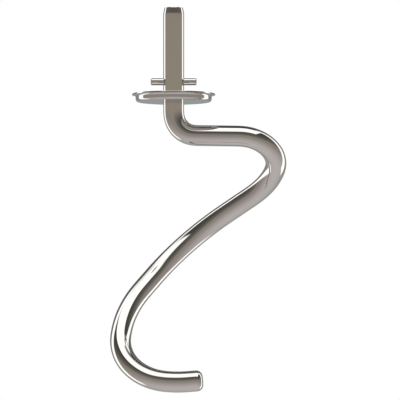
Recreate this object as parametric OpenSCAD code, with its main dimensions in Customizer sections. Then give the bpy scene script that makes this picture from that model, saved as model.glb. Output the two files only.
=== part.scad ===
// Spiral dough hook for a stand mixer: one bent stainless bar, its drive pin and its guard dish.
// The origin is the centre of the shank's end face. +Z points up along the shank, out of the hook,
// and +X is the side that the cranked arm points to.

/* [Bar] */
// Diameter of the round bar
bar_d = 12; // [10:0.5:14]

/* [Shank] */
// Height of the lead-in taper at the end of the shank
lead_h = 3.4; // [1:0.2:6]
// How much the lead-in taper takes off the radius
lead_in = 0.7; // [0.3:0.1:1.5]
// Width of the run-out groove that ends the ground seat
relief_w = 1.2; // [0.8:0.1:3]
// Depth of the run-out groove
relief_deep = 0.2; // [0.2:0.05:0.6]
// Distance between the run-out groove and the pin's hole
relief_gap = 0.6; // [0.4:0.1:4]

/* [Cross pin] */
// Distance from the shank's end face to the pin's axis
pin_drop = 42.5; // [30:0.5:60]
// Diameter of the pin's free ends
pin_d = 4; // [3:0.25:6]
// Length of the pin over its ends
pin_len = 26.4; // [20:0.2:40]
// How much the pin's knurled middle is thicker than its ends, on the radius
knurl_rise = 0.16; // [0.16:0.02:0.3]
// Interference of the knurled middle in the bar's hole, on the radius
pin_grip = 0.02; // [0.01:0.01:0.04]
// Rounding of the pin's ends
pin_round = 1; // [0.2:0.1:1.2]

/* [Guard dish] */
// Distance from the pin's axis down to the middle of the dish's flange
dish_drop = 7.3; // [5:0.1:15]
// Outer diameter of the dish's wall
wall_d = 43.5; // [32:0.5:60]
// How far the flange stands out from the wall
flange_w = 2.1; // [2:0.1:5]
// Height of the dish from its flange's middle to its underside
dish_h = 4.3; // [4:0.1:10]
// Thickness of the sheet
sheet_t = 0.8; // [0.6:0.1:1.2]
// Radius at the middle of the sheet where the wall turns out into the flange
cove_r = 1.8; // [0.8:0.1:2]
// Radius at the middle of the sheet where the wall turns in to the bottom
corner_r = 1.2; // [0.8:0.1:1.4]
// Interference of the dish's hole on the bar, on the radius
dish_grip = 0.02; // [0.01:0.01:0.04]

/* [Crank] */
// Straight bar between the dish's underside and the crank's bend
crank_gap = 6.4; // [2:0.2:20]
// Centre-line radius of the crank's bend
crank_r = 13; // [11:0.5:20]
// Angle of the crank's bend
crank_angle = 88.5; // [75:0.5:100]
// How far the arm swings to the front, towards -Y
crank_turn = 11; // [0:0.5:25]
// Straight arm between the crank and the outer bend
arm_len = 25.5; // [15:0.5:40]

/* [Outer bend] */
// Centre-line radius of the outer bend
outer_r = 19; // [15:0.5:30]
// Angle of the outer bend
outer_angle = 112; // [95:0.5:125]
// Turn of the bend's plane about the bar
outer_turn = -132.5; // [-150:0.5:-110]

/* [Shoulder bend] */
// Straight bar before the bend
shoulder_len = 1; // [0.5:0.5:10]
// Centre-line radius of the bend
shoulder_r = 30; // [20:0.5:50]
// Angle of the bend
shoulder_angle = 43; // [30:0.5:55]
// Turn of the bend's plane about the bar
shoulder_turn = -29; // [-45:0.5:-15]

/* [Back sweep] */
// Straight bar before the bend
back_len = 19; // [5:0.5:35]
// Centre-line radius of the bend
back_r = 69; // [45:0.5:90]
// Angle of the bend
back_angle = 46.5; // [35:0.5:60]
// Turn of the bend's plane about the bar
back_turn = -54; // [-70:0.5:-35]

/* [Side sweep] */
// Straight bar before the bend
side_len = 13; // [5:0.5:30]
// Centre-line radius of the bend
side_r = 69; // [45:0.5:90]
// Angle of the bend
side_angle = 28.5; // [15:0.5:40]
// Turn of the bend's plane about the bar
side_turn = -42; // [-60:0.5:-25]

/* [Toe] */
// Straight bar before the toe's bend
toe_len = 1; // [0.5:0.5:10]
// Centre-line radius of the toe's bend
toe_r = 33; // [22:0.5:45]
// Angle of the toe's bend
toe_angle = 88; // [75:0.5:105]
// Turn of the bend's plane about the bar
toe_turn = 3; // [-15:0.5:15]

/* [Tail] */
// Straight bar before the tail's bend
lift_len = 2; // [0.5:0.5:10]
// Centre-line radius of the tail's bend
lift_r = 50; // [30:0.5:90]
// Angle of the tail's bend, which lifts the bar's end
lift_angle = 9; // [4:0.5:20]
// Straight bar from the tail's bend to the bar's end
tail_len = 9; // [6:0.5:25]
// Rounding of the bar's end
tip_round = 3.6; // [0.4:0.1:4.5]

/* [Hidden] */
$fn = 96;

bar_r = bar_d / 2;
pin_r = pin_d / 2;
knurl_r = pin_r + knurl_rise;
pin_hole_r = knurl_r - pin_grip;

// Levels on the shank, measured down from the end face.
relief_end = pin_drop - pin_hole_r - relief_gap;
flange_drop = pin_drop + dish_drop;
dish_bottom = flange_drop + dish_h;
shank_len = dish_bottom + crank_gap;

// The middle of the dish's sheet: radius of its wall and height of its bottom under the flange.
sheet_wall = wall_d / 2 - sheet_t / 2;
sheet_low = sheet_t / 2 - dish_h;
rim_r = wall_d / 2 + flange_w;

// A bent stretch is this much slimmer than the straights beside it, and reaches this far
// into them, so that every joint along the bar is a clean step.
joint_step = 0.06;
joint_lap = 0.05;

// Bend table: straight before the bend, centre-line radius, angle, turn of the bend's plane.
BENDS = [
    [0, crank_r, crank_angle, crank_turn],
    [arm_len, outer_r, outer_angle, outer_turn],
    [shoulder_len, shoulder_r, shoulder_angle, shoulder_turn],
    [back_len, back_r, back_angle, back_turn],
    [side_len, side_r, side_angle, side_turn],
    [toe_len, toe_r, toe_angle, toe_turn],
    [lift_len, lift_r, lift_angle, 0]
];

// Flats on a rounded edge or on a turn of the sheet.
ARC_STEPS = 6;

// Points on an arc, from one angle to another.
function arc(centre, radius, from, to) =
    [for (i = [0:ARC_STEPS])
        let (a = from + (to - from) * i / ARC_STEPS)
        [centre[0] + radius * cos(a), centre[1] + radius * sin(a)]];

// The same points the other way round.
function reversed(points) = [for (i = [len(points) - 1:-1:0]) points[i]];

// Edge of a round rod along +Z, rounded off at its upper end.
function rounded_edge(radius, top, edge) = arc([radius - edge, top - edge], edge, 0, 90);

// A bend that starts at the origin along +Z and turns towards +X.
module bend(radius, angle) {
    translate([radius, 0, 0])
        rotate([90, 0, 0])
            rotate([0, 0, 180 - angle])
                rotate_extrude(angle = angle)
                    translate([radius, 0])
                        circle(r = bar_r - joint_step);
}

module straight(length) {
    translate([0, 0, -joint_lap]) cylinder(r = bar_r, h = length + 2 * joint_lap);
}

// The bar from one entry of the bend table to its end.
module bar_from(i) {
    if (i < len(BENDS)) {
        length = BENDS[i][0];
        radius = BENDS[i][1];
        angle = BENDS[i][2];
        if (length > 0) straight(length);
        translate([0, 0, length])
            rotate([0, 0, BENDS[i][3]]) {
                bend(radius, angle);
                translate([radius, 0, 0])
                    rotate([0, angle, 0])
                        translate([-radius, 0, 0])
                            bar_from(i + 1);
            }
    } else {
        rotate_extrude()
            polygon(concat(
                [[0, -joint_lap], [bar_r, -joint_lap]],
                rounded_edge(bar_r, tail_len, tip_round),
                [[0, tail_len]]
            ));
    }
}

// Half section of the shank: lead-in taper, ground seat, run-out groove and plain bar.
module shank() {
    rotate_extrude()
        polygon([
            [0, 0],
            [bar_r - lead_in, 0],
            [bar_r, -lead_h],
            [bar_r, relief_w - relief_end],
            [bar_r - relief_deep, relief_w * 3 / 4 - relief_end],
            [bar_r - relief_deep, relief_w / 4 - relief_end],
            [bar_r, -relief_end],
            [bar_r, -shank_len - joint_lap],
            [0, -shank_len - joint_lap]
        ]);
}

module hook_bar() {
    color("silver")
        difference() {
            union() {
                shank();
                translate([0, 0, -shank_len]) rotate([180, 0, 0]) bar_from(0);
            }
            translate([-bar_d, 0, -pin_drop])
                rotate([0, 90, 0])
                    cylinder(r = pin_hole_r, h = 2 * bar_d);
        }
}

// One half of the pin's section, from its middle to its end: knurled middle, then plain free end.
PIN_EDGE = concat(
    [[knurl_r, bar_r], [pin_r, bar_r]],
    rounded_edge(pin_r, pin_len / 2, pin_round),
    [[0, pin_len / 2]]
);

module cross_pin() {
    color("gainsboro")
        translate([0, 0, -pin_drop])
            rotate([0, 90, 0])
                rotate_extrude()
                    polygon(concat(PIN_EDGE, reversed([for (p = PIN_EDGE) [p[0], -p[1]]])));
}

// One side of the dish's sheet, from the hole in its bottom to its flange: the outside for 1 and
// the inside for -1. It is the sheet's middle line moved by half the sheet.
function sheet_side(side) =
    let (half = side * sheet_t / 2)
    concat(
        [[bar_r - dish_grip, sheet_low - half]],
        arc([sheet_wall - corner_r, sheet_low + corner_r], corner_r + half, -90, 0),
        arc([sheet_wall + cove_r, -cove_r], cove_r - half, 180, 90)
    );

module guard_dish() {
    color("silver")
        translate([0, 0, -flange_drop])
            rotate_extrude()
                polygon(concat(
                    sheet_side(1),
                    arc([rim_r - sheet_t / 2, 0], sheet_t / 2, -90, 90),
                    reversed(sheet_side(-1))
                ));
}

hook_bar();
cross_pin();
guard_dish();
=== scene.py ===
"""Looks of the spiral dough hook: polished stainless bar, drive pin and guard dish in a white studio."""
import math

import bmesh
import bpy
from mathutils import Matrix, Vector


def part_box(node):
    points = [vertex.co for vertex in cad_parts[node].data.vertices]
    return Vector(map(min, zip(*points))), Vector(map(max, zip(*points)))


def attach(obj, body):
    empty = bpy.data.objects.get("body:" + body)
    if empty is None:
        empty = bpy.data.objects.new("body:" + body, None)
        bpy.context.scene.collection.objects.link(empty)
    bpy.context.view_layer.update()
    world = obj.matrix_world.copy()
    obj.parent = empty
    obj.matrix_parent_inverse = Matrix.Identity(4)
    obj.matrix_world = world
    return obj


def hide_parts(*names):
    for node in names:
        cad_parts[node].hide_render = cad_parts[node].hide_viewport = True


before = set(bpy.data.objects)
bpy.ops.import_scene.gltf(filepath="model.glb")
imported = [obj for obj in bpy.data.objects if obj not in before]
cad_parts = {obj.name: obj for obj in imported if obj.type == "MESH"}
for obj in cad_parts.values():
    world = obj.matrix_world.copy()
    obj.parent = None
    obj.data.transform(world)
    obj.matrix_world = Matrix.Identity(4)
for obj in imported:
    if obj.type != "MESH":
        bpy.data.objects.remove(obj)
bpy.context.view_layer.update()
MM = 0.001

# The pieces, in millimetres, as in the CAD model.
BAR_R = 5.99
BENT_R = 5.95                       # a drawn bar thins a little where it is bent
THIN_FROM, THIN_OVER = 50.0, 8.0    # depth where the shank starts to thin, and how far that takes
SHANK_LEN = 60.5
# Straight before the bend, centre-line radius, angle, turn of the bend's plane.
BENDS = [
    (0, 13, 88.5, 11),
    (25.5, 19, 112, -132.5),
    (1, 30, 43, -29),
    (19, 69, 46.5, -54),
    (13, 69, 28.5, -42),
    (1, 33, 88, 3),
    (2, 50, 9, 0),
]
TAIL_LEN = 9.0
TIP_ROUND = 3.6
LEAD_H, LEAD_IN = 3.4, 0.7          # lead-in taper: its height, and what it takes off the radius
LEAD_STEPS = 8
LEAD_FOOT = 0.15                    # the taper's foot is rounded off over this, up and down
END_GAP = 0.005                     # the shank's end stays this far inside the CAD box
RING_GAP = 0.6                      # least distance between the rings of the plain bar and its ends
PIN_R, PIN_ROUND = 2.0, 1.0
KNURL_R, KNURL_HALF = 2.14, 5.95    # the pin's thicker middle, hidden in the bar
SHEET = 0.8
WALL_MID, COVE_R, CORNER_R = 21.35, 1.8, 1.2    # at the middle of the sheet

# Places from the frame. Its round pieces have facets, so the pin's middle is rounded to a tenth.
pin_low, pin_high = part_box("cross_pin")
dish_low, dish_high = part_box("guard_dish")
PIN_HALF = pin_high.x / MM
PIN_Z = round((pin_low.z + pin_high.z) / 2 / MM, 1)
RIM_R = dish_high.x / MM
FLANGE_Z = dish_high.z / MM - SHEET / 2
DISH_H = FLANGE_Z - dish_low.z / MM

# The meshes: points round each piece, spacing of points along the bar, and what one unit of V spans.
BAR_SIDES, PIN_SIDES, DISH_SIDES = 128, 64, 160
LINE_STEP, FINE_STEP = 1.0, 0.25
BAR_UV, TURNED_UV = 40.0, 20.0
# From bend to straight is a gradual change on a real bar: how widely it is eased, and over how many points.
EASE_SIGMA, EASE_REACH = 2.0, 24


# ---------------------------------------------------------------- meshes

def arc(cx, cy, r, a0, a1, n):
    """Points on an arc, from angle a0 to a1 in degrees."""
    return [(cx + r * math.cos(math.radians(a0 + (a1 - a0) * i / n)),
             cy + r * math.sin(math.radians(a0 + (a1 - a0) * i / n))) for i in range(n + 1)]


class Shell:
    """A mesh over rings of points that all have the same number of points."""

    def __init__(self, around):
        self.around = around
        self.angles = [2 * math.pi * k / around for k in range(around)]
        self.verts, self.faces, self.uvs = [], [], []

    def ring(self, point_at):
        """Adds a ring, from a function of the angle."""
        self.verts += [point_at(a) for a in self.angles]

    def side(self, i, j, v0, v1):
        """Quads between ring i and ring j, with U round them and V from v0 to v1."""
        for k in range(self.around):
            k2 = (k + 1) % self.around
            self.faces.append((i * self.around + k, i * self.around + k2,
                               j * self.around + k2, j * self.around + k))
            u0, u1 = k / self.around, (k + 1) / self.around
            self.uvs += [(u0, v0), (u1, v0), (u1, v1), (u0, v1)]

    def end(self, i):
        """One flat face over ring i."""
        self.faces.append([i * self.around + k for k in range(self.around)])
        self.uvs += [(0.5 + 0.5 * math.cos(a), 0.5 + 0.5 * math.sin(a)) for a in self.angles]

    def build(self, name, sharp):
        """The object, facing outwards and shaded smooth apart from edges sharper than sharp degrees."""
        mesh = bpy.data.meshes.new(name)
        mesh.from_pydata(self.verts, [], self.faces)
        layer = mesh.uv_layers.new(name="UVMap")
        for loop, uv in zip(layer.data, self.uvs):
            loop.uv = uv
        mesh.update()
        solid = bmesh.new()
        solid.from_mesh(mesh)
        bmesh.ops.recalc_face_normals(solid, faces=solid.faces)
        solid.to_mesh(mesh)
        solid.free()
        for face in mesh.polygons:
            face.use_smooth = True
        mesh.set_sharp_from_angle(angle=math.radians(sharp))
        obj = bpy.data.objects.new(name, mesh)
        bpy.context.scene.collection.objects.link(obj)
        return obj


def sweep(name, rings, around, sharp):
    """Closed piece from rings of (centre, axis, normal, binormal, radius, shift along the axis)."""
    shell = Shell(around)
    circles = []
    for centre, axis, normal, binormal, r, shift in rings:
        c = centre + axis * shift
        circles.append((c, r))
        shell.ring(lambda a: (c + (normal * math.cos(a) + binormal * math.sin(a)) * r) * MM)
    length = 0.0
    for i, ((c0, r0), (c1, r1)) in enumerate(zip(circles, circles[1:])):
        start = length
        length += max((c1 - c0).length, abs(r1 - r0))
        shell.side(i, i + 1, start / BAR_UV, length / BAR_UV)
    shell.end(0)
    shell.end(len(rings) - 1)
    return shell.build(name, sharp)


def lathe(name, profile, around, matrix, sharp, closed=False):
    """Piece from (radius, height) points, turned about +Z and moved by matrix."""
    shell = Shell(around)
    for r, z in profile:
        shell.ring(lambda a: matrix @ Vector((r * math.cos(a) * MM, r * math.sin(a) * MM, z * MM)))
    outline = profile + profile[:1] if closed else profile
    length = 0.0
    for i, ((r0, z0), (r1, z1)) in enumerate(zip(outline, outline[1:])):
        start = length
        length += math.hypot(r1 - r0, z1 - z0)
        shell.side(i, (i + 1) % len(profile), start / TURNED_UV, length / TURNED_UV)
    if not closed:
        shell.end(0)
        shell.end(len(profile) - 1)
    return shell.build(name, sharp)


# ---------------------------------------------------------------- hook bar

def straight(point, along):
    """Function from a distance along a straight to a point."""
    return lambda t: point + along * t


def bend(point, along, side, radius):
    """Function from a distance along a bend to a point."""
    def at(t):
        a = t / radius
        return point + side * radius * (1 - math.cos(a)) + along * radius * math.sin(a)
    return at


def stretches():
    """The bar's straights and bends in order, each with its length."""
    point, along, side = Vector((0, 0, 0)), Vector((0, 0, -1)), Vector((1, 0, 0))
    out = [(SHANK_LEN, straight(point.copy(), along.copy()))]
    point += along * SHANK_LEN
    for length, radius, angle, turn in BENDS:
        if length:
            out.append((length, straight(point.copy(), along.copy())))
            point += along * length
        side.rotate(Matrix.Rotation(math.radians(turn), 3, along))
        a = math.radians(angle)
        out.append((radius * a, bend(point.copy(), along.copy(), side.copy(), radius)))
        point += side * radius * (1 - math.cos(a)) + along * radius * math.sin(a)
        along, side = along * math.cos(a) + side * math.sin(a), side * math.cos(a) - along * math.sin(a)
    out.append((TAIL_LEN, straight(point, along)))
    return out


def eased(points):
    """The points, each moved to a weighted mean of its neighbours. Both ends count as going straight on."""
    sigma = EASE_SIGMA / FINE_STEP
    weights = [math.exp(-0.5 * (k / sigma) ** 2) for k in range(-EASE_REACH, EASE_REACH + 1)]
    total = sum(weights)
    first, last = points[0], points[-1]
    head, tail = points[1] - points[0], points[-1] - points[-2]

    def point(i):
        if i < 0:
            return first + head * i
        if i >= len(points):
            return last + tail * (i - len(points) + 1)
        return points[i]

    out = []
    for i in range(len(points)):
        mean = Vector((0, 0, 0))
        for k, weight in enumerate(weights):
            mean += point(i + k - EASE_REACH) * weight
        out.append(mean / total)
    return out


def centre_line():
    """Points along the bar every LINE_STEP, from the shank's end face to the tip."""
    dense = []
    for length, at in stretches():
        n = round(length / FINE_STEP)
        dense += [at(length * i / n) for i in range(n)]
    dense.append(at(length))    # the tip
    dense = eased(dense)
    line = dense[::round(LINE_STEP / FINE_STEP)]
    if (dense[-1] - line[-1]).length < 0.4 * LINE_STEP:
        line.pop()
    return line + [dense[-1]]


def frames(points):
    """Each point with the bar's direction there and two normals, carried along without twist."""
    out = []
    normal = Vector((1, 0, 0))
    for i, p in enumerate(points):
        before = points[max(0, i - 1)]
        after = points[min(len(points) - 1, i + 1)]
        along = (after - before).normalized()
        normal = (normal - along * normal.dot(along)).normalized()
        out.append((p, along, normal.copy(), along.cross(normal)))
    return out


def make_bar():
    """The bent bar, from the shank's flat end to its rounded tip."""
    line = frames(centre_line())
    shank_end, tip = line[0], line[-1]

    # Shank's end, as (depth, radius): flat face, small break of the edge, lead-in taper, plain bar.
    end_r = BAR_R - LEAD_IN
    lead_end = LEAD_H + LEAD_FOOT
    profile = [(END_GAP, 2.0), (END_GAP, 4.0)]
    profile += [(END_GAP, end_r - 0.12), (0.035, end_r - 0.05), (0.12, end_r + 0.01)]
    profile += [(LEAD_H * i / LEAD_STEPS, BAR_R - LEAD_IN * (1 - i / LEAD_STEPS))
                for i in range(1, LEAD_STEPS)]
    profile += [(LEAD_H - LEAD_FOOT, BAR_R - 0.032), (LEAD_H, BAR_R - 0.008), (lead_end, BAR_R)]
    rings = [(*shank_end, r, depth) for depth, r in profile]

    # Plain bar, clear of the taper and of the tip's rounding.
    for p, *axes in line:
        if -p.z < lead_end + RING_GAP or (p - tip[0]).length < TIP_ROUND + RING_GAP:
            continue
        thin = min(1.0, max(0.0, (-p.z - THIN_FROM) / THIN_OVER))
        rings.append((p, *axes, BAR_R + (BENT_R - BAR_R) * thin, 0.0))

    rings += [(*tip, BENT_R - TIP_ROUND + y, -TIP_ROUND + x) for x, y in arc(0, 0, TIP_ROUND, 90, 0, 10)]
    rings += [(*tip, r, 0.0) for r in (1.6, 0.8)]
    return sweep("bar", rings, BAR_SIDES, 30)


# ---------------------------------------------------------------- cross pin and guard dish

def make_pin():
    """The drive pin along X, through the shank."""
    half = [(0.5, PIN_HALF)]
    half += arc(PIN_R - PIN_ROUND, PIN_HALF - PIN_ROUND, PIN_ROUND, 90, 0, 8)
    # The rings at 12 and 7 keep the shading even on the straight between them.
    half += [(PIN_R, 12.0), (PIN_R, 7.0), (PIN_R, 6.2), (KNURL_R, KNURL_HALF)]
    profile = half + [(r, -z) for r, z in reversed(half)]
    place = Matrix.Translation((0, 0, PIN_Z * MM)) @ Matrix.Rotation(math.radians(90), 4, "Y")
    return lathe("pin", profile, PIN_SIDES, place, 30)


def make_dish():
    """The guard dish, one sheet from the hole in its bottom to its flared rim."""
    half = SHEET / 2
    low = half - DISH_H

    def side(s):
        """The sheet's outside for 1 and its inside for -1, from the hole to the flange."""
        h = s * half
        points = [(BAR_R, low - h), (19.0, low - h)]
        points += arc(WALL_MID - CORNER_R, low + CORNER_R, CORNER_R + h, -90, 0, 10)
        points += arc(WALL_MID + COVE_R, -COVE_R, COVE_R - h, 180, 90, 10)
        return points

    # The flange's cut edge leans in a little towards its top, and its corners are broken.
    rim = [(RIM_R - 0.16, -half), (RIM_R - 0.05, 0.04 - half), (RIM_R, 0.12 - half),
           (RIM_R - 0.16, half - 0.12), (RIM_R - 0.21, half - 0.03), (RIM_R - 0.30, half)]
    profile = side(1) + rim + list(reversed(side(-1)))
    place = Matrix.Translation((0, 0, FLANGE_Z * MM))
    return lathe("dish", profile, DISH_SIDES, place, 40, closed=True)


# ---------------------------------------------------------------- materials

class Nodes:
    """Short calls that add nodes to a tree."""

    def __init__(self, tree):
        self.tree = tree

    def new(self, kind):
        return self.tree.nodes.new("ShaderNode" + kind)

    def put(self, socket, value):
        """Links value to the socket where it is a socket too, and else sets it."""
        if isinstance(value, bpy.types.NodeSocket):
            self.tree.links.new(value, socket)
        else:
            socket.default_value = value

    def math(self, operation, a, b=0.0, c=0.0):
        node = self.new("Math")
        node.operation = operation
        for socket, value in zip(node.inputs, (a, b, c)):
            self.put(socket, value)
        return node.outputs[0]

    def step(self, value, low, high):
        """0 at low and 1 at high, smooth between; low may be the larger one."""
        node = self.new("MapRange")
        node.interpolation_type = "SMOOTHSTEP"
        self.put(node.inputs["Value"], value)
        ends = (low, high, 0.0, 1.0) if low < high else (high, low, 1.0, 0.0)
        for key, end in zip(("From Min", "From Max", "To Min", "To Max"), ends):
            node.inputs[key].default_value = end
        return node.outputs[0]

    def band(self, value, low, high, soft):
        """1 between low and high and 0 outside, over soft to either side of both."""
        return self.math("MULTIPLY", self.step(value, low - soft, low + soft),
                         self.step(value, high + soft, high - soft))

    def mix(self, factor, a, b):
        """Colour a where factor is 0, and b where it is 1."""
        node = self.new("Mix")
        node.data_type = "RGBA"
        for i, value in ((0, factor), (6, a), (7, b)):
            self.put(node.inputs[i], value)
        return node.outputs[2]

    def ramp(self, value, stops):
        """Colour by value, through stops of (position, colour)."""
        node = self.new("ValToRGB")
        elements = node.color_ramp.elements
        for i, (position, colour) in enumerate(stops):
            element = elements[i] if i < 2 else elements.new(position)
            element.position = position
            element.color = (*colour, 1)
        self.put(node.inputs[0], value)
        return node.outputs[0]


STEEL = (0.62, 0.60, 0.575)
WORN_STEEL = (0.585, 0.565, 0.538)
MARK_HEIGHT = 0.01 * MM


def steel(name, rough, marks, mark_strength):
    """Polished stainless steel with fine marks. marks is the scale of their noise in U, V and W."""
    mat = bpy.data.materials.new(name)
    mat.use_nodes = True
    nodes = Nodes(mat.node_tree)
    bsdf = mat.node_tree.nodes["Principled BSDF"]
    bsdf.inputs["Metallic"].default_value = 1.0
    coord = nodes.new("TexCoord")

    def noise(space, scale, detail, roughness):
        stretch = nodes.new("Mapping")
        nodes.put(stretch.inputs["Vector"], coord.outputs[space])
        stretch.inputs["Scale"].default_value = scale
        texture = nodes.new("TexNoise")
        texture.inputs["Scale"].default_value = 1.0
        texture.inputs["Detail"].default_value = detail
        texture.inputs["Roughness"].default_value = roughness
        nodes.put(texture.inputs["Vector"], stretch.outputs[0])
        return texture.outputs[0]

    lines = noise("UV", marks, 3.0, 0.6)                # fine marks left by the polishing wheel
    wipes = noise("Object", (90, 90, 60), 2.0, 0.5)     # cloudy traces of handling
    specks = noise("Object", (1100, 1100, 1100), 1.0, 0.5)
    worn = nodes.step(wipes, 0.42, 0.72)
    rubbed = nodes.step(lines, 0.55, 0.75)
    dull = nodes.math("MULTIPLY_ADD", worn, rough * 1.1, rough)
    dull = nodes.math("MULTIPLY_ADD", rubbed, rough * 0.9, dull)
    dull = nodes.math("MULTIPLY_ADD", nodes.step(specks, 0.72, 0.80), 0.06, dull)
    nodes.put(bsdf.inputs["Roughness"], dull)
    shade = nodes.math("MULTIPLY_ADD", worn, 0.35, nodes.math("MULTIPLY", rubbed, 0.25))
    nodes.put(bsdf.inputs["Base Color"], nodes.mix(shade, (*STEEL, 1), (*WORN_STEEL, 1)))
    bump = nodes.new("Bump")
    bump.inputs["Strength"].default_value = mark_strength
    bump.inputs["Distance"].default_value = MARK_HEIGHT
    nodes.put(bump.inputs["Height"], lines)
    nodes.put(bsdf.inputs["Normal"], bump.outputs[0])
    return mat


for obj, mat, node, slot in (
        (make_bar(), steel("polished_bar", 0.022, (70, 3, 1), 0.10), "hook_bar", "bar_steel"),
        (make_pin(), steel("polished_pin", 0.026, (3, 90, 1), 0.12), "cross_pin", "pin_steel"),
        (make_dish(), steel("polished_sheet", 0.024, (5, 110, 1), 0.10), "guard_dish", "dish_steel")):
    obj.data.materials.append(mat)
    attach(obj, "hook")
    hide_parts(node)

# ---------------------------------------------------------------- camera

# A long lens, far away and looking up a little. TARGET is the point at the picture's centre, in
# millimetres, and DISTANCE is the camera's distance from it.
CAMERA_PITCH = math.radians(3.435)
TARGET = Vector((15.051, 3.081, -110.004))
DISTANCE = 2857.0

cam_data = bpy.data.cameras.new("camera")
cam_data.lens = 450
cam_data.sensor_width = 36
cam_data.sensor_fit = "HORIZONTAL"
cam_data.clip_start, cam_data.clip_end = 0.1, 50
cam = bpy.data.objects.new("camera", cam_data)
bpy.context.scene.collection.objects.link(cam)
forward = Vector((0, math.cos(CAMERA_PITCH), math.sin(CAMERA_PITCH)))
cam.location = (TARGET - forward * DISTANCE) * MM
cam.rotation_mode = "QUATERNION"
cam.rotation_quaternion = forward.to_track_quat("-Z", "Y")
bpy.context.scene.camera = cam

# ---------------------------------------------------------------- studio

# Elevation in degrees, and how bright polished steel looks where it reflects the studio there, from 0
# to 255. The front is the camera's side.
FRONT_SKY = [
    (-90, (176, 171, 168)), (-62, (175, 168, 165)), (-45, (167, 160, 157)), (-28, (156, 148, 144)),
    (-14, (143, 135, 131)), (-2, (132, 124, 119)), (5, (137, 129, 116)), (12, (114, 108, 101)),
    (20, (98, 94, 88)), (30, (82, 79, 74)), (44, (68, 66, 61)), (60, (60, 58, 54)), (90, (40, 40, 38))]
BACK_SKY = [
    (-90, (176, 171, 168)), (-60, (168, 165, 162)), (-35, (148, 147, 145)), (-14, (130, 131, 128)),
    (-3, (126, 128, 124)), (8, (110, 111, 109)), (25, (92, 92, 91)), (45, (76, 76, 75)),
    (62, (56, 56, 55)), (80, (36, 36, 36)), (90, (34, 34, 34))]
SOFT_BOX = (1.75, 1.74, 1.72, 1)
WHITE = (1, 1, 1, 1)
FLOOR_Z, FLOOR_HALF = -0.33, 4      # in metres


def linear(v):
    """Linear light of a brightness from 0 to 255."""
    v /= 255
    return v / 12.92 if v <= 0.04045 else ((v + 0.055) / 1.055) ** 2.4


def sky(stops):
    """Stops of a colour ramp over height, with the studio's own light."""
    return [((math.sin(math.radians(el)) + 1) / 2, tuple(linear(v) / m for v, m in zip(rgb, STEEL)))
            for el, rgb in stops]


world = bpy.data.worlds.new("studio")
bpy.context.scene.world = world
world.use_nodes = True
nodes = Nodes(world.node_tree)
split = nodes.new("SeparateXYZ")
nodes.put(split.inputs[0], nodes.new("TexCoord").outputs["Generated"])
x, y, z = split.outputs
height = nodes.math("MULTIPLY_ADD", z, 0.5, 0.5)
level = nodes.math("SQRT", nodes.math("ADD", nodes.math("MULTIPLY", x, x), nodes.math("MULTIPLY", y, y)))
to_front = nodes.math("DIVIDE", nodes.math("MULTIPLY", y, -1.0), nodes.math("MAXIMUM", level, 0.001))
colour = nodes.mix(nodes.step(to_front, -0.6, -0.3),
                   nodes.ramp(height, sky(BACK_SKY)), nodes.ramp(height, sky(FRONT_SKY)))

# Two upright soft boxes behind the object, left and right.
sides = nodes.math("MULTIPLY", nodes.band(to_front, -0.65, -0.29, 0.04), nodes.band(z, -0.74, 0.9, 0.05))
# One soft box overhead, measured on its own plane.
above = nodes.math("MAXIMUM", z, 0.001)
across = nodes.math("DIVIDE", x, above)
depth = nodes.math("DIVIDE", y, above)
deep = nodes.math("MULTIPLY", nodes.step(depth, -1.02, -0.68), nodes.step(depth, 0.16, 0.12))
overhead = nodes.math("MULTIPLY", nodes.band(across, -0.62, 0.62, 0.05), deep)
colour = nodes.mix(nodes.math("MAXIMUM", sides, overhead), colour, SOFT_BOX)

# The camera itself sees plain white behind the object.
colour = nodes.mix(nodes.new("LightPath").outputs["Is Camera Ray"], colour, WHITE)
nodes.put(world.node_tree.nodes["Background"].inputs[0], colour)

# A plain pale floor well below the hook, which the steel doesn't reflect.
floor_mesh = bpy.data.meshes.new("floor")
floor_mesh.from_pydata([(sx * FLOOR_HALF, sy * FLOOR_HALF, FLOOR_Z)
                        for sx, sy in ((-1, -1), (1, -1), (1, 1), (-1, 1))], [], [(0, 1, 2, 3)])
floor = bpy.data.objects.new("floor", floor_mesh)
bpy.context.scene.collection.objects.link(floor)
pale = bpy.data.materials.new("pale_floor")
pale.use_nodes = True
pale_bsdf = pale.node_tree.nodes["Principled BSDF"]
pale_bsdf.inputs["Base Color"].default_value = (0.93, 0.93, 0.93, 1)
pale_bsdf.inputs["Roughness"].default_value = 0.9
floor.data.materials.append(pale)
floor.visible_glossy = False

# A soft lamp over the floor. The steel doesn't reflect it either.
lamp_data = bpy.data.lights.new("lamp", "AREA")
lamp_data.shape = "SQUARE"
lamp_data.size = 1.6
lamp_data.energy = 6
lamp = bpy.data.objects.new("lamp", lamp_data)
lamp.location = (0, 0, 1.2)
lamp.visible_glossy = False
lamp.visible_camera = False
bpy.context.scene.collection.objects.link(lamp)

bpy.context.scene.view_settings.view_transform = "Standard"
